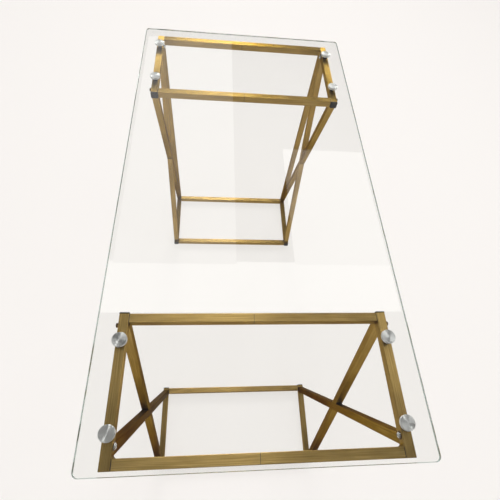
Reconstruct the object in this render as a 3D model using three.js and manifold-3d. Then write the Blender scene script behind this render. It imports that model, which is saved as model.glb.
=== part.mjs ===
// Glass-topped table on two X-sided trestles of square steel tube.
// Millimetres, +Z up, +X along the table's length, -Y towards the person who sits at it.
// The origin is on the floor under the middle of the top.
import * as THREE from "three";
import { mergeVertices } from "three/addons/utils/BufferGeometryUtils.js";
import Module from "manifold-3d";

const wasm = await Module();
wasm.setup();

// Glass top
const tableHeight = 730; // floor to the upper face of the glass
const glassLength = 1040;
const glassWidth = 524;
const glassThickness = 8;
const glassCornerRadius = 9;
const glassEdgeBevel = 1;
const endOverhang = 7; // glass beyond the trestles' outer ends
const sideOverhang = 29.5; // glass beyond the side frames

// Square tube of the trestles
const tubeSize = 16;
const tubeWall = 1.2;
const tubeCornerRadius = 1.5;
const railLength = 231; // without its end cap
const endPlate = 1.5; // closes the outer end of each rail
const weldGap = 0.3; // between a slanted brace and the tube it is welded to

// Braces: from a rail's end to where the brace's middle line meets the rail's face
const longBraceTopInset = 28; // at the outer end, clear of the post
const longBraceFootInset = 14; // at the inner end
const shortBraceTopInset = 12; // at the inner end
const shortBraceFootInset = 6; // at the outer end, where the post cuts the brace off

// Plastic caps in the inner ends of the rails
const capFlange = 2.5;
const capLip = 0.5; // flange beyond the upper rails' faces; the lower rails' caps are flush
const capPlugDepth = 12;
const capPlugWall = 1.6;
const capClearance = 0.3;

// Standoffs: a disc bonded under the glass, on a stem whose stud goes into the rail
const standoffHeight = 12; // rail to glass
const standoffInset = 47.5; // from a rail's end to the standoff's axis
const discRadius = 12;
const discThickness = 5;
const discBevel = 0.5;
const stemRadius = 6;
const studRadius = 2.5;
const studLength = 9;

// Dome screws in the inner face of the top rails
const screwInset = 32; // from the outer end of a rail
const screwShankRadius = 2.5;
const screwShankLength = 9;
const washerRadius = 6.5;
const washerThickness = 1;
const domeRadius = 4.8;
const domeHeight = 3.6;

// Hex bolts in the outer face of the top rails
const boltInset = 18; // from the inner end of a rail
const boltHeadSides = 6;
const boltHeadRadius = 4.2; // to its corners
const boltHeadHeight = 4.5;
const boltShankRadius = 2;
const boltShankLength = 9;

const holeClearance = 0.3; // around each stud and shank
const cutMargin = 5; // how far a cutting tool runs past what it cuts
const sharpestCorner = 0.1; // radius of a bore's corner where the wall is as thick as the fillet
const mergeTolerance = 1e-4;
const roundSides = 24;
const holeSides = 12;
const domeSteps = 3;
const cornerSegments = 2;
const glassCornerSegments = 6;

const railTop = tableHeight - glassThickness - standoffHeight;
const topRailHeight = railTop - tubeSize / 2; // middle of the upper rails
const footRailHeight = tubeSize / 2; // middle of the lower rails, which lie on the floor
const frameOffset = glassWidth / 2 - sideOverhang - tubeSize / 2; // table's middle to a side frame's
const trestleOffset = glassLength / 2 - endOverhang - railLength / 2;
const outerEnd = -railLength / 2; // in a trestle's own frame
const innerEnd = railLength / 2;
const braceTop = railTop - tubeSize - weldGap;
const braceFoot = tubeSize + weldGap;

function material(color, roughness, metalness) {
  return new THREE.MeshStandardMaterial({ color, roughness, metalness });
}

const brassFinish = () => material(0xa8894a, 0.38, 1);
const steelFinish = () => material(0xcfd2d2, 0.22, 1);
const bronzeFinish = () => material(0x5a4630, 0.45, 1);
const blackPlastic = () => material(0x1c1613, 0.55, 0);

function clearGlass() {
  const glass = material(0xdfeae6, 0.04, 0);
  glass.transparent = true;
  glass.opacity = 0.3;
  return glass;
}

// A closed three.js geometry as a manifold-3d solid, for cutting and joining.
function toSolid(geometry) {
  const bare = geometry.clone();
  bare.deleteAttribute("normal");
  bare.deleteAttribute("uv");
  const merged = mergeVertices(bare, mergeTolerance);
  return new wasm.Manifold(
    new wasm.Mesh({
      numProp: 3,
      vertProperties: merged.attributes.position.array,
      triVerts: new Uint32Array(merged.index.array),
    }),
  );
}

function toGeometry(solid) {
  const { numProp, vertProperties, triVerts } = solid.getMesh();
  const interleaved = new THREE.InterleavedBuffer(vertProperties, numProp);
  const geometry = new THREE.BufferGeometry();
  geometry.setAttribute("position", new THREE.InterleavedBufferAttribute(interleaved, 3, 0));
  geometry.setIndex(new THREE.BufferAttribute(triVerts, 1));
  const faceted = geometry.toNonIndexed();
  faceted.computeVertexNormals();
  return faceted;
}

// A rectangle with round corners, centred on the origin; outline is a Shape or a Path.
function roundedRectangle(outline, width, height, radius) {
  const x = width / 2;
  const y = height / 2;
  outline.moveTo(x, -y + radius);
  outline.lineTo(x, y - radius);
  outline.absarc(x - radius, y - radius, radius, 0, Math.PI / 2, false);
  outline.lineTo(-x + radius, y);
  outline.absarc(-x + radius, y - radius, radius, Math.PI / 2, Math.PI, false);
  outline.lineTo(-x, -y + radius);
  outline.absarc(-x + radius, -y + radius, radius, Math.PI, 1.5 * Math.PI, false);
  outline.lineTo(x - radius, -y);
  outline.absarc(x - radius, -y + radius, radius, 1.5 * Math.PI, 2 * Math.PI, false);
  return outline;
}

// Square tube along local Z, its middle at the origin, open at both ends.
function squareTube(length) {
  const bore = tubeSize - 2 * tubeWall;
  const boreRadius = Math.max(tubeCornerRadius - tubeWall, sharpestCorner);
  const section = roundedRectangle(new THREE.Shape(), tubeSize, tubeSize, tubeCornerRadius);
  section.holes.push(roundedRectangle(new THREE.Path(), bore, bore, boreRadius));
  const settings = { depth: length, bevelEnabled: false, curveSegments: cornerSegments };
  return new THREE.ExtrudeGeometry(section, settings).translate(0, 0, -length / 2);
}

// Tool for a round hole through one wall of a tube, along local Z.
function holeTool(radius) {
  const length = tubeWall + cutMargin;
  return new THREE.CylinderGeometry(radius + holeClearance, radius + holeClearance, length, holeSides)
    .rotateX(Math.PI / 2);
}

// A rail along X, its middle at the origin: a tube whose outer end is closed by a welded plate.
function railSolid() {
  const tube = squareTube(railLength - endPlate).translate(0, 0, endPlate / 2);
  const outline = roundedRectangle(new THREE.Shape(), tubeSize, tubeSize, tubeCornerRadius);
  const settings = { depth: endPlate, bevelEnabled: false, curveSegments: cornerSegments };
  const plate = new THREE.ExtrudeGeometry(outline, settings).translate(0, 0, -railLength / 2);
  return toSolid(tube.rotateY(Math.PI / 2)).add(toSolid(plate.rotateY(Math.PI / 2)));
}

// The upper rail, with holes for its standoffs, the screw in its inner face and the bolt in its
// outer face; inward is the side of the other frame.
function topRailGeometry(inward) {
  const face = (inward * tubeSize) / 2;
  const tools = standoffPlaces().map((x) => holeTool(studRadius).translate(x, 0, tubeSize / 2));
  const sideHole = (radius, x, y) => holeTool(radius).rotateX(Math.PI / 2).translate(x, y, 0);
  tools.push(sideHole(screwShankRadius, outerEnd + screwInset, face));
  tools.push(sideHole(boltShankRadius, innerEnd - boltInset, -face));
  return toGeometry(tools.reduce((rail, tool) => rail.subtract(toSolid(tool)), railSolid()));
}

function standoffPlaces() {
  return [outerEnd + standoffInset, innerEnd - standoffInset];
}

// A length of tube whose middle line runs from one point to another of the side frame's plane,
// overlong by a tube's width at each end.
function slantedTube(foot, top, section = squareTube) {
  const run = new THREE.Vector3().subVectors(top, foot);
  const middle = new THREE.Vector3().addVectors(top, foot).divideScalar(2);
  const tilt = Math.atan2(run.x, run.z);
  return section(run.length() + 2 * tubeSize).rotateY(tilt).translate(middle.x, 0, middle.z);
}

// The space between the rails, from the post's inner face on, which the braces fill.
function braceSpace() {
  const height = braceTop - braceFoot;
  const start = outerEnd + tubeSize + weldGap;
  const length = innerEnd - start;
  const space = new THREE.BoxGeometry(length, 2 * tubeSize, height);
  return toSolid(space.translate(start + length / 2, 0, braceFoot + height / 2));
}

// Upright between the rails at their outer end.
function postGeometry() {
  return squareTube(topRailHeight - footRailHeight - tubeSize);
}

// Long brace in one length; the short brace is cut in two where it meets it.
function braceGeometries() {
  const longFoot = new THREE.Vector3(innerEnd - longBraceFootInset, 0, braceFoot);
  const longTop = new THREE.Vector3(outerEnd + longBraceTopInset, 0, braceTop);
  const shortFoot = new THREE.Vector3(outerEnd + shortBraceFootInset, 0, braceFoot);
  const shortTop = new THREE.Vector3(innerEnd - shortBraceTopInset, 0, braceTop);
  const space = braceSpace();
  const long = toSolid(slantedTube(longFoot, longTop)).intersect(space);
  const gapBlock = (length) => new THREE.BoxGeometry(tubeSize + 2 * weldGap, 2 * tubeSize, length);
  const gap = toSolid(slantedTube(longFoot, longTop, gapBlock));
  const halves = toSolid(slantedTube(shortFoot, shortTop)).intersect(space).subtract(gap).decompose();
  halves.sort((a, b) => a.boundingBox().min[2] - b.boundingBox().min[2]);
  const [lower, upper] = halves;
  return { long: toGeometry(long), lower: toGeometry(lower), upper: toGeometry(upper) };
}

function crossBarGeometry() {
  return squareTube(2 * frameOffset - tubeSize).rotateX(Math.PI / 2);
}

// Plastic cap: a flange on the rail's inner end and a hollow plug inside the tube, towards -X.
// lip is how far the flange stands proud of the tube's faces.
function capGeometry(lip) {
  const flangeSize = tubeSize + 2 * lip;
  const plugSize = tubeSize - 2 * tubeWall - 2 * capClearance;
  const pocketSize = plugSize - 2 * capPlugWall;
  const outline = roundedRectangle(new THREE.Shape(), flangeSize, flangeSize, tubeCornerRadius + lip);
  const settings = { depth: capFlange, bevelEnabled: false, curveSegments: cornerSegments };
  const flange = new THREE.ExtrudeGeometry(outline, settings).rotateY(Math.PI / 2);
  const plugLength = capPlugDepth + capFlange / 2; // it starts inside the flange
  const plug = new THREE.BoxGeometry(plugLength, plugSize, plugSize)
    .translate(plugLength / 2 - capPlugDepth, 0, 0);
  const pocket = new THREE.BoxGeometry(capPlugDepth, pocketSize, pocketSize)
    .translate(-capPlugDepth / 2 - capPlugWall, 0, 0);
  return toGeometry(toSolid(flange).add(toSolid(plug)).subtract(toSolid(pocket)));
}

// A closed profile of [radius, height] points turned about local Z.
function turned(points, sides = roundSides) {
  const profile = points.map(([radius, height]) => new THREE.Vector2(radius, height));
  return new THREE.LatheGeometry(profile, sides).rotateX(Math.PI / 2);
}

// Stud, stem and disc, the rail's upper face at z = 0.
function standoffGeometry() {
  const discFoot = standoffHeight - discThickness;
  return turned([
    [0, -studLength],
    [studRadius, -studLength],
    [studRadius, 0],
    [stemRadius, 0],
    [stemRadius, discFoot],
    [discRadius - discBevel, discFoot],
    [discRadius, discFoot + discBevel],
    [discRadius, standoffHeight - discBevel],
    [discRadius - discBevel, standoffHeight],
    [0, standoffHeight],
  ]);
}

// Dome-headed screw with its washer, the rail's face at z = 0.
function screwGeometry() {
  const dome = Array.from({ length: domeSteps }, (_, step) => {
    const angle = (step / domeSteps) * (Math.PI / 2);
    return [domeRadius * Math.cos(angle), washerThickness + domeHeight * Math.sin(angle)];
  });
  return turned([
    [0, -screwShankLength],
    [screwShankRadius, -screwShankLength],
    [screwShankRadius, 0],
    [washerRadius, 0],
    [washerRadius, washerThickness],
    ...dome,
    [0, washerThickness + domeHeight],
  ]);
}

// Hex-headed bolt, the rail's face at z = 0.
function boltGeometry() {
  const head = turned(
    [
      [0, 0],
      [boltHeadRadius, 0],
      [boltHeadRadius, boltHeadHeight],
      [0, boltHeadHeight],
    ],
    boltHeadSides,
  );
  const shank = turned([
    [0, -boltShankLength],
    [boltShankRadius, -boltShankLength],
    [boltShankRadius, boltHeadHeight / 2],
    [0, boltHeadHeight / 2],
  ]);
  return toGeometry(toSolid(head).add(toSolid(shank)));
}

function glassTop() {
  const inset = 2 * glassEdgeBevel;
  const outline = roundedRectangle(
    new THREE.Shape(),
    glassLength - inset,
    glassWidth - inset,
    glassCornerRadius - glassEdgeBevel,
  );
  const geometry = new THREE.ExtrudeGeometry(outline, {
    depth: glassThickness - inset,
    bevelThickness: glassEdgeBevel,
    bevelSize: glassEdgeBevel,
    bevelSegments: 1,
    curveSegments: glassCornerSegments,
  }).translate(0, 0, tableHeight - glassThickness + glassEdgeBevel);
  return named("glass_top", geometry, clearGlass());
}

function named(name, geometry, finish) {
  const mesh = new THREE.Mesh(geometry, finish);
  mesh.name = name;
  return mesh;
}

function endCap(name, height, lip) {
  const mesh = named(`${name}_cap`, capGeometry(lip), blackPlastic());
  mesh.position.set(innerEnd, 0, height);
  return mesh;
}

function standoffs(name) {
  return ["outer", "inner"].map((end, i) => {
    const mesh = named(`${name}_${end}_standoff`, standoffGeometry(), steelFinish());
    mesh.position.set(standoffPlaces()[i], 0, railTop);
    return mesh;
  });
}

function domeScrew(name, inward) {
  const mesh = named(`${name}_dome_screw`, screwGeometry(), steelFinish());
  mesh.position.set(outerEnd + screwInset, (inward * tubeSize) / 2, topRailHeight);
  mesh.rotation.x = -inward * (Math.PI / 2);
  return mesh;
}

function hexBolt(name, inward) {
  const mesh = named(`${name}_hex_bolt`, boltGeometry(), bronzeFinish());
  mesh.position.set(innerEnd - boltInset, (-inward * tubeSize) / 2, topRailHeight);
  mesh.rotation.x = inward * (Math.PI / 2);
  return mesh;
}

// Two rails, a post and an X, in the plane y = 0; inward is the side of the other frame.
function sideFrame(name, inward) {
  const frame = new THREE.Group();
  const topRail = named(`${name}_top_rail`, topRailGeometry(inward), brassFinish());
  topRail.position.z = topRailHeight;
  const footRail = named(`${name}_bottom_rail`, toGeometry(railSolid()), brassFinish());
  footRail.position.z = footRailHeight;
  const post = named(`${name}_post`, postGeometry(), brassFinish());
  post.position.set(outerEnd + tubeSize / 2, 0, (topRailHeight + footRailHeight) / 2);
  const braces = braceGeometries();
  frame.add(
    topRail,
    footRail,
    post,
    named(`${name}_long_brace`, braces.long, brassFinish()),
    named(`${name}_upper_brace`, braces.upper, brassFinish()),
    named(`${name}_lower_brace`, braces.lower, brassFinish()),
    endCap(`${name}_top`, topRailHeight, capLip),
    endCap(`${name}_bottom`, footRailHeight, 0),
    ...standoffs(name),
    domeScrew(name, inward),
    hexBolt(name, inward),
  );
  return frame;
}

// Four bars between the side frames, level with the rails' ends.
function crossBars(name) {
  const barInset = tubeSize / 2;
  const places = [
    ["top_outer_bar", outerEnd + barInset, topRailHeight],
    ["top_inner_bar", innerEnd - barInset, topRailHeight],
    ["bottom_outer_bar", outerEnd + barInset, footRailHeight],
    ["bottom_inner_bar", innerEnd - barInset, footRailHeight],
  ];
  return places.map(([bar, x, z]) => {
    const mesh = named(`${name}_${bar}`, crossBarGeometry(), brassFinish());
    mesh.position.set(x, 0, z);
    return mesh;
  });
}

// A whole trestle in its own frame, its outer end towards -X.
function trestle(name, turn) {
  const group = new THREE.Group();
  for (const side of [-1, 1]) {
    const place = side * turn < 0 ? "front" : "back";
    const frame = sideFrame(`${name}_${place}`, -side);
    frame.position.y = side * frameOffset;
    group.add(frame);
  }
  group.add(...crossBars(name));
  return group;
}

function table() {
  const group = new THREE.Group();
  const left = trestle("left", 1);
  left.position.x = -trestleOffset;
  const right = trestle("right", -1);
  right.position.x = trestleOffset;
  right.rotation.z = Math.PI;
  group.add(glassTop(), left, right);
  return group;
}

export default table();
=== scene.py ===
# Glass-topped table on two X-sided trestles of square tube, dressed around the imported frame.
import math

import bmesh
import bpy
from mathutils import Euler, Matrix, Vector


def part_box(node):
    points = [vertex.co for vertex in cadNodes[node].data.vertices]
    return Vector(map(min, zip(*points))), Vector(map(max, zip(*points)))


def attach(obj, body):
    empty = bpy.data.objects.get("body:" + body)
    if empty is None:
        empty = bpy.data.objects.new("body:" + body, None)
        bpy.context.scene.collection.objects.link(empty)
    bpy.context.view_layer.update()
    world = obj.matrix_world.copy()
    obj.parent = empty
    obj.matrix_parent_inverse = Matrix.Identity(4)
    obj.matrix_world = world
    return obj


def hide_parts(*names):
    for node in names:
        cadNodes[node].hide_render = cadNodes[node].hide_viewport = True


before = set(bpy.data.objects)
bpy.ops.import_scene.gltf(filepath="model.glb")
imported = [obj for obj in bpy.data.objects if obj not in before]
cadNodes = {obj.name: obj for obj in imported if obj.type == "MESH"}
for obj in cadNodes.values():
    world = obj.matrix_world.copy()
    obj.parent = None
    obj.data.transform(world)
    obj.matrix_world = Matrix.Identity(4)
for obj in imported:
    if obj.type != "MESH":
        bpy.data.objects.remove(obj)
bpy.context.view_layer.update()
print("frame loaded:", len(cadNodes), "nodes")

trestles = ["left", "right"]
sides = ["front", "back"]
levels = ["top", "bottom"]
ends = ["outer", "inner"]


def toLinear(hexColour):
    def channel(value):
        value = value / 255
        return value / 12.92 if value <= 0.04045 else ((value + 0.055) / 1.055) ** 2.4

    text = hexColour.lstrip("#")
    return tuple(channel(int(text[i : i + 2], 16)) for i in (0, 2, 4)) + (1.0,)


def addNode(tree, kind, settings=None, links=None):
    # a setting named after a socket fills that socket, any other is a property of the node
    node = tree.nodes.new(kind)
    for key, value in (settings or {}).items():
        if isinstance(key, int) or key in node.inputs:
            node.inputs[key].default_value = value
        else:
            setattr(node, key, value)
    for socket, source in (links or {}).items():
        tree.links.new(source, node.inputs[socket])
    return node


def newMaterial(name):
    material = bpy.data.materials.new(name)
    material.use_nodes = True
    material.node_tree.nodes.clear()
    return material, material.node_tree


camera = {
    "place": (-0.5123, 0.0777, 1.3281),
    "turn": (29.572, -5.551, -92.292),  # degrees, looking down from above the left trestle
    "lens": 26.96,
    "shift": (-0.0039, 0.0084),
    "clip": (0.01, 100),
}
cameraData = bpy.data.cameras.new("camera")
cameraData.lens = camera["lens"]
cameraData.shift_x, cameraData.shift_y = camera["shift"]
cameraData.clip_start, cameraData.clip_end = camera["clip"]
cameraObject = bpy.data.objects.new("camera", cameraData)
cameraObject.location = camera["place"]
cameraObject.rotation_euler = Euler([math.radians(angle) for angle in camera["turn"]])
bpy.context.scene.collection.objects.link(cameraObject)
bpy.context.scene.camera = cameraObject
bpy.context.scene.view_settings.view_transform = "Standard"

studio = {
    "paper": "#FCF8F5",  # what the background shows
    "floorPaint": "#F3EFEB",  # what the floor throws back as light
    "shadowShare": 0.25,  # how much of the floor's own light and shade shows
    "floorSize": 16.0,
    "wallTop": 0.17,  # sine of the height where the walls that metal and glass see start to darken
    "ceilingStart": 0.50,
    "ceiling": "#63615F",  # what metal and glass see straight above
    "fill": "#D9D8D6",
    "fillStrength": 0.78,
}

# the softboxes: place, what it faces (straight down if not given), width and height in metres,
# radiance, spread in degrees where a grid narrows the beam; farLeft, farRight and middle mirror in
# the glass and stay near paper white, the others stand where the glass doesn't show them; the low
# pair beyond the far end, one ahead and one to the right, draws the bow-ties on the discs and the
# glints along the bars
lamps = {
    "farLeft": {"place": (2.20, 0.35, 2.6), "size": (2.8, 0.9), "radiance": 0.6},
    "farRight": {"place": (1.40, -0.92, 2.6), "size": (1.2, 0.75), "radiance": 0.9},
    "middle": {"place": (0.62, -0.23, 2.6), "size": (0.4, 2.14), "radiance": 1.3},
    "behind": {"place": (-1.20, 0, 2.6), "size": (1.0, 1.4), "radiance": 0.5},
    "right": {"place": (0.30, -2.05, 2.4), "aim": (0, 0, 0.7), "size": (1.3, 0.8), "radiance": 2.8},
    "left": {"place": (-0.10, 1.35, 2.6), "aim": (-0.1, 0, 0.7), "size": (1.1, 0.7), "radiance": 0.9},
    "lowAhead": {
        "place": (8.0, -0.2, 4.0),
        "aim": (0.2, 0, 0.72),
        "size": (1.8, 1.7),
        "radiance": 52.0,
        "spread": 56,
    },
    "lowRight": {
        "place": (7.8, -3.4, 4.0),
        "aim": (0.2, 0, 0.72),
        "size": (1.7, 1.7),
        "radiance": 18.0,
        "spread": 56,
    },
}


def softbox(name, values):
    place = Vector(values["place"])
    aim = Vector(values.get("aim", (place.x, place.y, 0)))
    width, height = values["size"]
    data = bpy.data.lights.new(name, "AREA")
    data.shape = "RECTANGLE"
    data.size = width
    data.size_y = height
    data.spread = math.radians(values.get("spread", 180))
    half = data.spread / 2
    beam = 1 - half / math.tan(half)  # a grid on the box narrows the beam and keeps its radiance
    data.energy = values["radiance"] * math.pi * width * height * beam
    lamp = bpy.data.objects.new(name, data)
    lamp.location = place
    lamp.rotation_euler = (aim - place).to_track_quat("-Z", "Y").to_euler()
    lamp.visible_camera = False
    bpy.context.scene.collection.objects.link(lamp)


for lampName, lampValues in lamps.items():
    softbox(lampName, lampValues)


def backgroundRays(tree):
    # 1 for the rays that look at the background: straight from the camera, mirrored or through glass
    path = addNode(tree, "ShaderNodeLightPath")
    straight = addNode(
        tree,
        "ShaderNodeMath",
        {"operation": "MAXIMUM"},
        {0: path.outputs["Is Camera Ray"], 1: path.outputs["Is Glossy Ray"]},
    )
    return addNode(
        tree,
        "ShaderNodeMath",
        {"operation": "MAXIMUM"},
        {0: straight.outputs[0], 1: path.outputs["Is Transmission Ray"]},
    ).outputs[0]


def studioWorld():
    world = bpy.data.worlds.new("studio")
    world.use_nodes = True
    tree = world.node_tree
    tree.nodes.clear()
    direction = addNode(tree, "ShaderNodeTexCoord").outputs["Generated"]
    height = addNode(tree, "ShaderNodeSeparateXYZ", links={0: direction}).outputs["Z"]
    rise = addNode(
        tree,
        "ShaderNodeMapRange",
        {
            "From Min": studio["wallTop"],
            "From Max": studio["ceilingStart"],
            "interpolation_type": "SMOOTHSTEP",
        },
        {"Value": height},
    ).outputs[0]
    # straight from the camera the whole backdrop is plain paper
    mirrored = addNode(
        tree,
        "ShaderNodeMath",
        {"operation": "SUBTRACT", 0: 1.0},
        {1: addNode(tree, "ShaderNodeLightPath").outputs["Is Camera Ray"]},
    ).outputs[0]
    darker = addNode(
        tree,
        "ShaderNodeMath",
        {"operation": "MULTIPLY"},
        {0: rise, 1: mirrored},
    ).outputs[0]
    seen = addNode(
        tree,
        "ShaderNodeMix",
        {"data_type": "RGBA", 6: toLinear(studio["paper"]), 7: toLinear(studio["ceiling"])},
        {0: darker},
    ).outputs[2]
    shown = addNode(tree, "ShaderNodeBackground", {"Strength": 1.0}, {"Color": seen})
    fill = addNode(
        tree,
        "ShaderNodeBackground",
        {"Color": toLinear(studio["fill"]), "Strength": studio["fillStrength"]},
    )
    both = addNode(
        tree,
        "ShaderNodeMixShader",
        links={0: backgroundRays(tree), 1: fill.outputs[0], 2: shown.outputs[0]},
    )
    addNode(tree, "ShaderNodeOutputWorld", links={"Surface": both.outputs[0]})
    bpy.context.scene.world = world


def studioFloorPaint():
    # matt emulsion on a studio floor: flat, pale, keeps a soft shadow
    material, tree = newMaterial("studio_floor_paint")
    paint = addNode(tree, "ShaderNodeBsdfDiffuse", {"Color": toLinear(studio["floorPaint"])})
    paper = addNode(tree, "ShaderNodeEmission", {"Color": toLinear(studio["paper"]), "Strength": 1.0})
    shade = addNode(
        tree,
        "ShaderNodeMixShader",
        {0: studio["shadowShare"]},
        {1: paper.outputs[0], 2: paint.outputs[0]},
    )
    surface = addNode(
        tree,
        "ShaderNodeMixShader",
        links={0: backgroundRays(tree), 1: paint.outputs[0], 2: shade.outputs[0]},
    )
    addNode(tree, "ShaderNodeOutputMaterial", links={"Surface": surface.outputs[0]})
    return material


def studioFloor():
    half = studio["floorSize"] / 2
    bm = bmesh.new()
    corners = [bm.verts.new((x * half, y * half, 0)) for x, y in ((-1, -1), (1, -1), (1, 1), (-1, 1))]
    bm.faces.new(corners)
    mesh = bpy.data.meshes.new("floor")
    bm.to_mesh(mesh)
    bm.free()
    floor = bpy.data.objects.new("floor", mesh)
    floor.data.materials.append(studioFloorPaint())
    bpy.context.scene.collection.objects.link(floor)


studioWorld()
studioFloor()
print("camera, lamps and floor placed")


def patternScale(width, depth, length):
    # a mapping's scale, from the pattern's real size in metres along the piece's own axes
    return (1 / width, 1 / depth, 1 / length)


brassTube = {
    "base": "#927843",
    "pale": "#C0A265",
    "dark": "#6F582C",
    "edge": "#6A6148",  # what it shows at a glancing angle
    "roughness": (0.36, 0.48),
    "lineWidth": 0.0016,  # brushing is 0.1-0.3 mm apart, drawn coarser so that it shows
    "lineLength": 0.09,
    "streakRange": (0.35, 0.65),  # the part of the line noise that goes from base to pale
    "sheenRange": (0.3, 0.7),  # the part of it that goes from smooth to rough
    "patinaSize": 0.045,  # the width of a cloud
    "patinaStretch": 2.5,  # its length over its width
    "patinaRange": (0.45, 0.75),
    "patinaShare": 0.6,
    "anisotropic": 0.85,
    "bumpStrength": 0.2,
    "bumpHeight": 0.0002,
}


def antiqueBrassTube():
    # steel tube plated with antique brass and brushed lengthwise: dull gold with long fine lines,
    # a soft sheen that spreads across the tube, and a cloudy brown patina
    material, tree = newMaterial("antique_brass_tube")
    values = brassTube
    place = addNode(tree, "ShaderNodeTexCoord").outputs["Object"]
    line = values["lineWidth"]
    linePlace = addNode(
        tree,
        "ShaderNodeMapping",
        {"Scale": patternScale(line, line, values["lineLength"])},
        {"Vector": place},
    ).outputs[0]
    lines = addNode(
        tree,
        "ShaderNodeTexNoise",
        {"Scale": 1.0, "Detail": 3.0, "Roughness": 0.6},
        {"Vector": linePlace},
    ).outputs["Fac"]
    cloud = values["patinaSize"]
    cloudPlace = addNode(
        tree,
        "ShaderNodeMapping",
        {"Scale": patternScale(cloud, cloud, cloud * values["patinaStretch"])},
        {"Vector": place},
    ).outputs[0]
    clouds = addNode(
        tree,
        "ShaderNodeTexNoise",
        {"Scale": 1.0, "Detail": 4.0, "Roughness": 0.55},
        {"Vector": cloudPlace},
    ).outputs["Fac"]
    streaks = addNode(
        tree,
        "ShaderNodeMapRange",
        {"From Min": values["streakRange"][0], "From Max": values["streakRange"][1]},
        {"Value": lines},
    ).outputs[0]
    brushed = addNode(
        tree,
        "ShaderNodeMix",
        {"data_type": "RGBA", 6: toLinear(values["base"]), 7: toLinear(values["pale"])},
        {0: streaks},
    ).outputs[2]
    patina = addNode(
        tree,
        "ShaderNodeMapRange",
        {
            "From Min": values["patinaRange"][0],
            "From Max": values["patinaRange"][1],
            "To Max": values["patinaShare"],
        },
        {"Value": clouds},
    ).outputs[0]
    colour = addNode(
        tree,
        "ShaderNodeMix",
        {"data_type": "RGBA", 7: toLinear(values["dark"])},
        {0: patina, 6: brushed},
    ).outputs[2]
    first, last = values["sheenRange"]
    low, high = values["roughness"]
    roughness = addNode(
        tree,
        "ShaderNodeMapRange",
        {"From Min": first, "From Max": last, "To Min": low, "To Max": high},
        {"Value": lines},
    ).outputs[0]
    bump = addNode(
        tree,
        "ShaderNodeBump",
        {"Strength": values["bumpStrength"], "Distance": values["bumpHeight"]},
        {"Height": lines},
    ).outputs[0]
    tangent = addNode(tree, "ShaderNodeTangent", {"direction_type": "RADIAL", "axis": "Z"}).outputs[0]
    shader = addNode(
        tree,
        "ShaderNodeBsdfPrincipled",
        {
            "Metallic": 1.0,
            "Anisotropic": values["anisotropic"],
            "Specular Tint": toLinear(values["edge"]),
        },
        {"Base Color": colour, "Roughness": roughness, "Normal": bump, "Tangent": tangent},
    )
    addNode(tree, "ShaderNodeOutputMaterial", links={"Surface": shader.outputs[0]})
    return material


spunDisc = {
    "base": "#DEDEDD",
    "ring": "#CCCCCB",
    "ringSpacing": 0.0009,
    "ringWobble": 0.6,
    "wavesPerUnit": 20 / (2 * math.pi),  # of Blender's wave texture at scale 1
    "roughness": (0.38, 0.43),
    "anisotropic": 1.0,
    "sheenTurn": 0.25,  # a quarter turn, so that the sheen spreads across the rings
    "bumpStrength": 0.03,
    "bumpHeight": 0.0002,
}


def spunSteel():
    # stainless steel faced on a lathe: bright, with fine rings that spread each light
    # into a bow-tie across the disc; real rings are 0.1 mm apart, drawn 0.9 mm so that they show
    material, tree = newMaterial("spun_steel")
    values = spunDisc
    place = addNode(tree, "ShaderNodeTexCoord").outputs["Object"]
    rings = addNode(
        tree,
        "ShaderNodeTexWave",
        {
            "wave_type": "RINGS",
            "rings_direction": "Z",
            "Scale": 1 / values["wavesPerUnit"] / values["ringSpacing"],
            "Distortion": values["ringWobble"],
            "Detail": 2.0,
        },
        {"Vector": place},
    ).outputs["Fac"]
    low, high = values["roughness"]
    roughness = addNode(
        tree,
        "ShaderNodeMapRange",
        {"To Min": low, "To Max": high},
        {"Value": rings},
    ).outputs[0]
    colour = addNode(
        tree,
        "ShaderNodeMix",
        {"data_type": "RGBA", 6: toLinear(values["ring"]), 7: toLinear(values["base"])},
        {0: rings},
    ).outputs[2]
    bump = addNode(
        tree,
        "ShaderNodeBump",
        {"Strength": values["bumpStrength"], "Distance": values["bumpHeight"]},
        {"Height": rings},
    ).outputs[0]
    tangent = addNode(tree, "ShaderNodeTangent", {"direction_type": "RADIAL", "axis": "Z"}).outputs[0]
    shader = addNode(
        tree,
        "ShaderNodeBsdfPrincipled",
        {
            "Metallic": 1.0,
            "Anisotropic": values["anisotropic"],
            "Anisotropic Rotation": values["sheenTurn"],
        },
        {"Base Color": colour, "Roughness": roughness, "Normal": bump, "Tangent": tangent},
    )
    addNode(tree, "ShaderNodeOutputMaterial", links={"Surface": shader.outputs[0]})
    return material


# what the plainer finishes share; real grains are 0.05-0.2 mm wide, drawn 0.8-2 mm so that they show
plainFinish = {
    "grainRange": (0.3, 0.7),  # the part of the grain noise that goes from smooth to rough
    "metallic": 1.0,
    "bumpStrength": 0.2,
    "bumpHeight": 0.0001,
}

# polished stainless screws: bright, almost mirror-like
polishedSteel = plainFinish | {
    "pale": "#C9CBCB",
    "dark": "#B5B7B6",
    "grain": 0.002,
    "roughness": (0.12, 0.22),
}

# dark steel for the stems and the discs' undersides: nearly black, warm, with a dull sheen; on the
# undersides, and partly on the stems, the darkness is painted shade under the discs
stemFinishAndUndersideShade = plainFinish | {
    "pale": "#37332D",
    "dark": "#2A2722",
    "grain": 0.002,
    "roughness": (0.35, 0.45),
}

# bronze-coated bolts and washers: brown with a dull sheen
coatedBronze = plainFinish | {
    "pale": "#6B5233",
    "dark": "#4A3822",
    "grain": 0.0015,
    "roughness": (0.38, 0.5),
}

# moulded polyethylene with a fine spark-eroded grain: near black, slightly warm, satin; it also blackens
# the recessed ends of the cross bars, as a painted shadow line where they meet the rails
polytheneAndGapShade = plainFinish | {
    "pale": "#1B1613",
    "dark": "#120E0C",
    "grain": 0.0008,
    "roughness": (0.5, 0.62),
    "metallic": 0.0,
}


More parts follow.
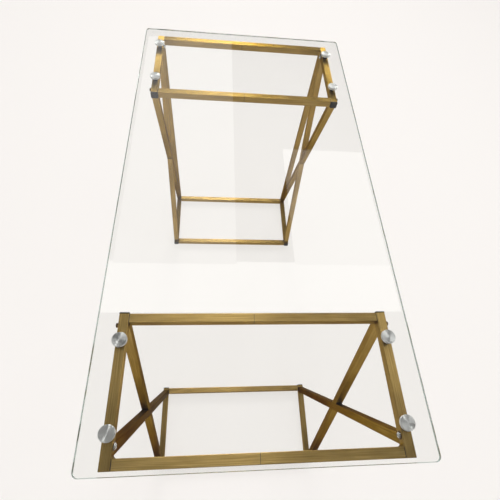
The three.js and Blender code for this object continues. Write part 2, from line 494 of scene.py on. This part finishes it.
def grainedMaterial(name, values):
    # one grain pattern in the colour, roughness and bump
    material, tree = newMaterial(name)
    grain = values["grain"]
    place = addNode(
        tree,
        "ShaderNodeMapping",
        {"Scale": patternScale(grain, grain, grain)},
        {"Vector": addNode(tree, "ShaderNodeTexCoord").outputs["Object"]},
    ).outputs[0]
    noise = addNode(
        tree,
        "ShaderNodeTexNoise",
        {"Scale": 1.0, "Detail": 4.0, "Roughness": 0.6},
        {"Vector": place},
    ).outputs["Fac"]
    colour = addNode(
        tree,
        "ShaderNodeMix",
        {"data_type": "RGBA", 6: toLinear(values["dark"]), 7: toLinear(values["pale"])},
        {0: noise},
    ).outputs[2]
    first, last = values["grainRange"]
    low, high = values["roughness"]
    roughness = addNode(
        tree,
        "ShaderNodeMapRange",
        {"From Min": first, "From Max": last, "To Min": low, "To Max": high},
        {"Value": noise},
    ).outputs[0]
    bump = addNode(
        tree,
        "ShaderNodeBump",
        {"Strength": values["bumpStrength"], "Distance": values["bumpHeight"]},
        {"Height": noise},
    ).outputs[0]
    shader = addNode(
        tree,
        "ShaderNodeBsdfPrincipled",
        {"Metallic": values["metallic"]},
        {"Base Color": colour, "Roughness": roughness, "Normal": bump},
    )
    addNode(tree, "ShaderNodeOutputMaterial", links={"Surface": shader.outputs[0]})
    return material


glassSheet = {
    "tint": "#FEFFFE",
    "roughness": (0.0, 0.006),
    "haze": 0.0,
    "ior": 1.52,
    "smearSize": 0.12,  # faint marks of wiping, a hand's width across
    "smearRange": (0.5, 0.8),
}
glassEdge = glassSheet | {
    "tint": "#A3B5AD",
    "roughness": (0.1, 0.2),
    "haze": 0.35,  # how much of the ground edge scatters light
}


def floatGlass(name, values):
    # clear float glass: almost colourless with sharp reflections, hazy green where the edge is
    # ground; lamps shine through it
    material, tree = newMaterial(name)
    smear = values["smearSize"]
    place = addNode(
        tree,
        "ShaderNodeMapping",
        {"Scale": patternScale(smear, smear, smear)},
        {"Vector": addNode(tree, "ShaderNodeTexCoord").outputs["Object"]},
    ).outputs[0]
    smears = addNode(
        tree,
        "ShaderNodeTexNoise",
        {"Scale": 1.0, "Detail": 3.0},
        {"Vector": place},
    ).outputs["Fac"]
    first, last = values["smearRange"]
    low, high = values["roughness"]
    roughness = addNode(
        tree,
        "ShaderNodeMapRange",
        {"From Min": first, "From Max": last, "To Min": low, "To Max": high},
        {"Value": smears},
    ).outputs[0]
    shader = addNode(
        tree,
        "ShaderNodeBsdfPrincipled",
        {
            "Base Color": toLinear(values["tint"]),
            "IOR": values["ior"],
            "Transmission Weight": 1 - values["haze"],
        },
        {"Roughness": roughness},
    )
    clear = addNode(tree, "ShaderNodeBsdfTransparent", {"Color": toLinear(values["tint"])})
    isShadow = addNode(tree, "ShaderNodeLightPath").outputs["Is Shadow Ray"]
    both = addNode(
        tree,
        "ShaderNodeMixShader",
        links={0: isShadow, 1: shader.outputs[0], 2: clear.outputs[0]},
    )
    addNode(tree, "ShaderNodeOutputMaterial", links={"Surface": both.outputs[0]})
    return material


brass = antiqueBrassTube()
discSteel = spunSteel()
brightSteel = grainedMaterial("polished_steel", polishedSteel)
stemSteelAndUndersideShade = grainedMaterial("stem_steel_and_underside_shade", stemFinishAndUndersideShade)
darkBronze = grainedMaterial("dark_bronze", coatedBronze)
blackPlasticAndGapShade = grainedMaterial("black_polythene_and_gap_shade", polytheneAndGapShade)
clearGlass = floatGlass("clear_float_glass", glassSheet)
edgeGlass = floatGlass("ground_glass_edge", glassEdge)
print("finishes mixed")

smoothAngle = math.radians(38)  # edges flatter than this are smooth


def addPiece(name, bm, materials, nodes, place, turn=None):
    # sharp edges stay sharp, curves are smooth; the piece rides on the frame and stands for its nodes
    bmesh.ops.recalc_face_normals(bm, faces=bm.faces)
    for face in bm.faces:
        face.smooth = True
    for edge in bm.edges:
        edge.smooth = edge.is_manifold and edge.calc_face_angle(0) < smoothAngle
    mesh = bpy.data.meshes.new(name)
    bm.to_mesh(mesh)
    bm.free()
    for material in materials:
        mesh.materials.append(material)
    piece = bpy.data.objects.new(name, mesh)
    piece.location = place
    if turn is not None:
        piece.rotation_euler = turn.to_euler()
    bpy.context.scene.collection.objects.link(piece)
    weighted = piece.modifiers.new("weighted_normals", "WEIGHTED_NORMAL")
    weighted.keep_sharp = True
    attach(piece, "root")
    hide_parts(*nodes)


def roundedRectangle(width, height, radius, steps):
    # outline points, anticlockwise
    points = []
    corners = ((1, 1, 0), (-1, 1, 90), (-1, -1, 180), (1, -1, 270))
    for sx, sy, start in corners:
        centre = Vector((sx * (width / 2 - radius), sy * (height / 2 - radius)))
        for i in range(steps + 1):
            angle = math.radians(start + 90 * i / steps)
            points.append(centre + radius * Vector((math.cos(angle), math.sin(angle))))
    return points


tube = {
    "cornerRadius": 0.001,
    "cornerSteps": 5,
    "leastRadius": 0.0002,
    "endRound": 0.0009,  # the closed end of a rail
    "jointWidth": 0.0014,  # the black line where a cross bar meets the rail: a recess, blackened as a painted shadow line
    "jointDepth": 0.0008,
    "seamWidth": 0.0008,  # the gap between the two halves of a top bar
    "seamDepth": 0.0005,
    "seamPlace": 0.005,  # from the middle of the bar
    "spareLength": 0.032,  # of a slanted tube at each end before it is cut
}


def squareOutline(size, corner, inset=0.0):
    side = size - 2 * inset
    return roundedRectangle(side, side, max(corner - inset, tube["leastRadius"]), tube["cornerSteps"])


def loft(outlines, secondBands=()):
    # skins (outline, height) pairs and closes both ends; the bands between the pairs that
    # secondBands names take the piece's second material
    bm = bmesh.new()
    rows = []
    for outline, height in outlines:
        rows.append([bm.verts.new((point.x, point.y, height)) for point in outline])
    for band, (low, high) in enumerate(zip(rows, rows[1:])):
        for i in range(len(low)):
            j = (i + 1) % len(low)
            face = bm.faces.new((low[i], low[j], high[j], high[i]))
            face.material_index = 1 if band in secondBands else 0
    bm.faces.new(rows[0][::-1])
    bm.faces.new(rows[-1])
    return bm


def turned(profile, sideCount, secondBands=()):
    # a closed body of revolution about Z from (radius, height) points, the first and last on the axis
    bm = bmesh.new()
    rows = []
    angles = [2 * math.pi * i / sideCount for i in range(sideCount)]
    for radius, height in profile:
        if radius == 0:
            rows.append([bm.verts.new((0, 0, height))])
            continue
        rows.append([bm.verts.new((radius * math.cos(a), radius * math.sin(a), height)) for a in angles])
    for band, (low, high) in enumerate(zip(rows, rows[1:])):
        for i in range(sideCount):
            j = (i + 1) % sideCount
            corners = [low[i % len(low)], low[j % len(low)], high[j % len(high)], high[i % len(high)]]
            face = bm.faces.new(list(dict.fromkeys(corners)))
            face.material_index = 1 if band in secondBands else 0
    return bm


def roundedEdge(radius, steps=4):
    # (inset, distance from the end) pairs from the flat end round to the side
    angles = [math.pi / 2 * i / steps for i in range(steps + 1)]
    return [(radius * (1 - math.sin(a)), radius * (1 - math.cos(a))) for a in angles]


def frameOf(axis, up):
    # a turn that takes local Z along axis and keeps local Y towards up
    z = axis.normalized()
    x = up.cross(z).normalized()
    return Matrix((x, z.cross(x), z)).transposed()


upward = Vector((0, 0, 1))
across = Vector((0, 1, 0))


def tubeAlong(node, steps, secondBands=()):
    # a square tube along the longest side of its node; steps are (place along it, inset) pairs
    low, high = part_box(node)
    span = high - low
    index = max(range(3), key=lambda i: span[i])
    axis = Vector([float(i == index) for i in range(3)])
    size = min(span)
    outlines = [(squareOutline(size, tube["cornerRadius"], inset), z) for z, inset in steps]
    bm = loft(outlines, secondBands)
    turn = frameOf(axis, across if index == 2 else upward)
    materials = [brass, blackPlasticAndGapShade]
    addPiece(node + "_tube", bm, materials, [node], (low + high) / 2, turn)


def halfLength(node):
    low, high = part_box(node)
    return max(high - low) / 2


def railTube(node, outward):
    # the outer end is closed and rounded over
    half = halfLength(node)
    steps = [(-outward * half, 0.0)]
    steps += [(outward * (half - depth), inset) for inset, depth in roundedEdge(tube["endRound"])[::-1]]
    tubeAlong(node, steps[::outward])


def crossBar(node, seam):
    # the ends are recessed and black, a painted shadow line where the bar meets the rail; a top bar is
    # made of two halves on an inner sleeve, and a dark groove shows where they meet
    half = halfLength(node)
    recessEdge = half - tube["jointWidth"]
    depth = tube["jointDepth"]
    steps = [(-half, depth), (-recessEdge, depth), (-recessEdge, 0.0)]
    dark = [0]  # the bands that are black: the painted shadow lines at the ends, and the seam
    if seam:
        left = tube["seamPlace"] - tube["seamWidth"] / 2
        right = tube["seamPlace"] + tube["seamWidth"] / 2
        groove = tube["seamDepth"]
        dark.append(len(steps) + 1)
        steps += [(left, 0.0), (left, groove), (right, groove), (right, 0.0)]
    steps += [(recessEdge, 0.0), (recessEdge, depth), (half, depth)]
    dark.append(len(steps) - 2)
    tubeAlong(node, steps, dark)


# between these limits lie the normals of a slanted tube's two sloping faces
slopingFace = {"leastX": 0.5, "mostY": 0.1, "leastZ": 0.05}


def slantedLine(node):
    # a point on a slanted tube's middle line, the line's direction upwards, and the normal of one
    # of its two sloping faces
    mesh = cadNodes[node].data
    sloping = []
    for face in mesh.polygons:
        x, y, z = (abs(part) for part in face.normal)
        if x > slopingFace["leastX"] and y < slopingFace["mostY"] and z > slopingFace["leastZ"]:
            sloping.append(face)
    normal = max(sloping, key=lambda face: face.area).normal.copy()
    axis = Vector((-normal.z, 0, normal.x)) * (1 if normal.x > 0 else -1)
    reach = [vertex.co.dot(normal) for vertex in mesh.vertices]
    low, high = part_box(node)
    middle = (low + high) / 2
    middle += normal * ((min(reach) + max(reach)) / 2 - middle.dot(normal))
    return middle, axis.normalized(), normal


def cutTube(node, cuts):
    # a slanted tube, cut off by planes given as (point, outward normal) in the part's frame
    low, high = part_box(node)
    size = high.y - low.y
    middle, axis, normal = slantedLine(node)
    half = (high - low).length / 2 + tube["spareLength"]
    outline = squareOutline(size, tube["cornerRadius"])
    bm = loft([(outline, -half), (outline, half)])
    turn = frameOf(axis, across)
    back = (Matrix.Translation(middle) @ turn.to_4x4()).inverted()
    for point, outward in cuts:
        cut = bmesh.ops.bisect_plane(
            bm,
            geom=bm.verts[:] + bm.edges[:] + bm.faces[:],
            plane_co=back @ point,
            plane_no=back.to_3x3() @ outward,
            clear_outer=True,
        )
        edges = [item for item in cut["geom_cut"] if isinstance(item, bmesh.types.BMEdge)]
        bmesh.ops.edgeloop_fill(bm, edges=edges)
    addPiece(node + "_tube", bm, [brass], [node], middle, turn)


def sideFrame(name, outward):
    # outward is the sign of X at the trestle's outer end
    for level in levels:
        railTube(f"{name}_{level}_rail", outward)
    post = f"{name}_post"
    tubeAlong(post, [(-halfLength(post), 0.0), (halfLength(post), 0.0)])
    longMiddle, _, longNormal = slantedLine(f"{name}_long_brace")
    low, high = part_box(f"{name}_long_brace")
    half = (high.y - low.y) / 2
    cutTube(f"{name}_long_brace", [(high, upward), (low, -upward)])
    for brace in ("upper", "lower"):
        node = f"{name}_{brace}_brace"
        low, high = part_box(node)
        middle = (low + high) / 2
        away = longNormal * (1 if (middle - longMiddle).dot(longNormal) > 0 else -1)
        cuts = [(high, upward), (low, -upward), (longMiddle + away * half, -away)]
        if brace == "lower":
            cuts.append((high if outward > 0 else low, Vector((outward, 0, 0))))
        cutTube(node, cuts)


weld = {
    "leg": 0.006,  # along the rail and along the bar
    "steps": 5,
    "below": 0.0025,  # from the rail's top down to the weld
    "height": 0.012,
}


def cornerWeld(name, outward, away):
    # a ground weld fills the corner between a top rail and the outer bar
    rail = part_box(f"{name}_top_rail")
    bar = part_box(f"{name.split('_')[0]}_top_outer_bar")
    corner = Vector((
        bar[0].x if outward > 0 else bar[1].x,
        rail[0].y if away > 0 else rail[1].y,
        rail[1].z - weld["below"] - weld["height"],
    ))
    outline = [Vector((0, 0))]
    for i in range(weld["steps"] + 1):
        angle = math.pi / 2 * i / weld["steps"]
        reach = Vector((outward * (1 - math.sin(angle)), away * (1 - math.cos(angle))))
        outline.append(-weld["leg"] * reach)
    bm = loft([(outline, 0.0), (outline, weld["height"])])
    addPiece(f"{name}_weld", bm, [brass], [f"{name}_top_rail"], corner)


cap = {
    "flange": 0.0025,
    "corner": 0.002,
    "edgeRound": 0.0008,
    "crown": 0.0003,  # the face swells a little
    "crownInset": 0.45,  # share of the width
}


def endCap(node, outward):
    # moulded end cap: a flange with rounded edges and a slightly crowned face
    low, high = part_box(node)
    size = high.y - low.y
    steps = [(0.0, 0.0)]
    steps += [(cap["flange"] - depth, inset) for inset, depth in roundedEdge(cap["edgeRound"])[::-1]]
    for share in (0.5, 1.0):
        steps.append((cap["flange"] + cap["crown"] * share, size * cap["crownInset"] * share))
    bm = loft([(squareOutline(size, cap["corner"], inset), z) for z, inset in steps])
    inner = low.x if outward > 0 else high.x
    face = Vector((inner + outward * cap["flange"], (low.y + high.y) / 2, (low.z + high.z) / 2))
    turn = frameOf(Vector((-outward, 0, 0)), upward)
    addPiece(node + "_moulding", bm, [blackPlasticAndGapShade], [node], face, turn)


standoff = {
    "discThickness": 0.005,
    "discEdge": 0.0006,
    "discSides": 64,
    "stemRadius": 0.006,
    "stemBevel": 0.0002,
    "stemSides": 40,
    "adhesive": 0.0002,  # between the disc and the glass
}


def standoffPieces(node):
    low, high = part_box(node)
    centre = (low + high) / 2
    radius = (high.x - low.x) / 2
    thickness = standoff["discThickness"]
    edge = roundedEdge(standoff["discEdge"])
    profile = [(0, -thickness)]
    profile += [(radius - inset, depth - thickness) for inset, depth in edge]
    profile += [(radius - inset, -depth) for inset, depth in edge[::-1]]
    profile.append((0, 0))
    top = Vector((centre.x, centre.y, high.z - standoff["adhesive"]))
    # the disc's underside takes the dark stem steel: painted shade under the disc, which darkens its
    # mirror image in the rail
    disc = turned(profile, standoff["discSides"], secondBands=(0,))
    addPiece(node + "_disc", disc, [discSteel, stemSteelAndUndersideShade], [node], top)
    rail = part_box(node.rsplit("_", 2)[0] + "_top_rail")[1].z
    height = high.z - standoff["adhesive"] - thickness - rail
    stemRadius = standoff["stemRadius"]
    bevel = standoff["stemBevel"]
    stem = [(0, 0), (stemRadius - bevel, 0), (stemRadius, bevel), (stemRadius, height), (0, height)]
    foot = Vector((centre.x, centre.y, rail))
    stemBody = turned(stem, standoff["stemSides"])
    addPiece(node + "_stem", stemBody, [stemSteelAndUndersideShade], [node], foot)


domeScrew = {
    "washerRadius": 0.0065,
    "washerThickness": 0.001,
    "washerBevel": 0.0003,
    "headRadius": 0.0048,
    "headRim": 0.0012,  # height of the straight rim
    "headHeight": 0.0046,
    "socketRadius": 0.0016,
    "socketDepth": 0.0018,
    "socketBevel": 0.0002,
    "headSink": 0.0001,  # into the washer
    "headSteps": 8,
    "sides": 48,
}


def domeScrewPieces(node, inward):
    low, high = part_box(node)
    face = low.y if inward < 0 else high.y
    values = domeScrew
    thickness = values["washerThickness"]
    seat = Vector(((low.x + high.x) / 2, face - inward * values["headHeight"], (low.z + high.z) / 2))
    turn = frameOf(across * inward, upward)
    outer = values["washerRadius"]
    bevel = values["washerBevel"]
    washer = [(0, 0), (outer, 0), (outer, thickness - bevel), (outer - bevel, thickness), (0, thickness)]
    washerBody = turned(washer, values["sides"])
    addPiece(node + "_washer", washerBody, [darkBronze], [node], seat, turn)
    radius = values["headRadius"]
    crown = values["headHeight"] - values["headRim"]
    seatLevel = thickness - values["headSink"]
    dome = [(0, seatLevel), (radius, seatLevel)]
    for i in range(values["headSteps"]):
        angle = math.pi / 2 * i / values["headSteps"]
        if radius * math.cos(angle) > values["socketRadius"]:
            dome.append((radius * math.cos(angle), values["headRim"] + crown * math.sin(angle)))
    socket = values["socketRadius"]
    bottom = values["headHeight"] - values["socketDepth"]
    dome += [(socket, values["headHeight"] - values["socketBevel"]), (socket, bottom), (0, bottom)]
    domeBody = turned(dome, values["sides"])
    addPiece(node + "_dome", domeBody, [brightSteel], [node], seat, turn)


hexBolt = {
    "radius": 0.0042,
    "height": 0.0045,
    "chamferHeight": 0.0007,
    "chamferShare": 0.9,  # radius of the chamfer's top over the bolt's
}


def hexBoltPiece(node, outward):
    low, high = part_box(node)
    height = hexBolt["height"]
    face = high.y if outward > 0 else low.y
    place = Vector(((low.x + high.x) / 2, face - outward * height, (low.z + high.z) / 2))
    shares = ((1.0, 0.0), (1.0, height - hexBolt["chamferHeight"]), (hexBolt["chamferShare"], height))
    angles = [math.pi / 3 * i for i in range(6)]
    outlines = []
    for share, level in shares:
        radius = hexBolt["radius"] * share
        outlines.append(([Vector((radius * math.cos(a), radius * math.sin(a))) for a in angles], level))
    turn = frameOf(across * outward, upward)
    addPiece(node + "_head", loft(outlines), [darkBronze], [node], place, turn)


pane = {"corner": 0.009, "cornerSteps": 14, "bevel": 0.001}


def glassPane():
    # the ground edge and its bevels take the second glass
    node = "glass_top"
    low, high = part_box(node)
    width, depth, thickness = high - low
    bevel = pane["bevel"]
    outlines = []
    for inset, height in ((bevel, 0), (0, bevel), (0, thickness - bevel), (bevel, thickness)):
        outline = roundedRectangle(
            width - 2 * inset,
            depth - 2 * inset,
            pane["corner"] - inset,
            pane["cornerSteps"],
        )
        outlines.append((outline, height - thickness / 2))
    bm = loft(outlines, secondBands=(0, 1, 2))
    addPiece("glass_top_pane", bm, [clearGlass, edgeGlass], [node], (low + high) / 2)


for trestleName in trestles:
    outward = -1 if trestleName == "left" else 1
    for side in sides:
        name = f"{trestleName}_{side}"
        away = -1 if side == "front" else 1
        sideFrame(name, outward)
        cornerWeld(name, outward, away)
        for level in levels:
            endCap(f"{name}_{level}_cap", outward)
        for end in ends:
            standoffPieces(f"{name}_{end}_standoff")
        domeScrewPieces(f"{name}_dome_screw", -away)
        hexBoltPiece(f"{name}_hex_bolt", away)
    for level in levels:
        for end in ends:
            crossBar(f"{trestleName}_{level}_{end}_bar", seam=level == "top")
    print(trestleName, "trestle built")
glassPane()
print("glass laid")
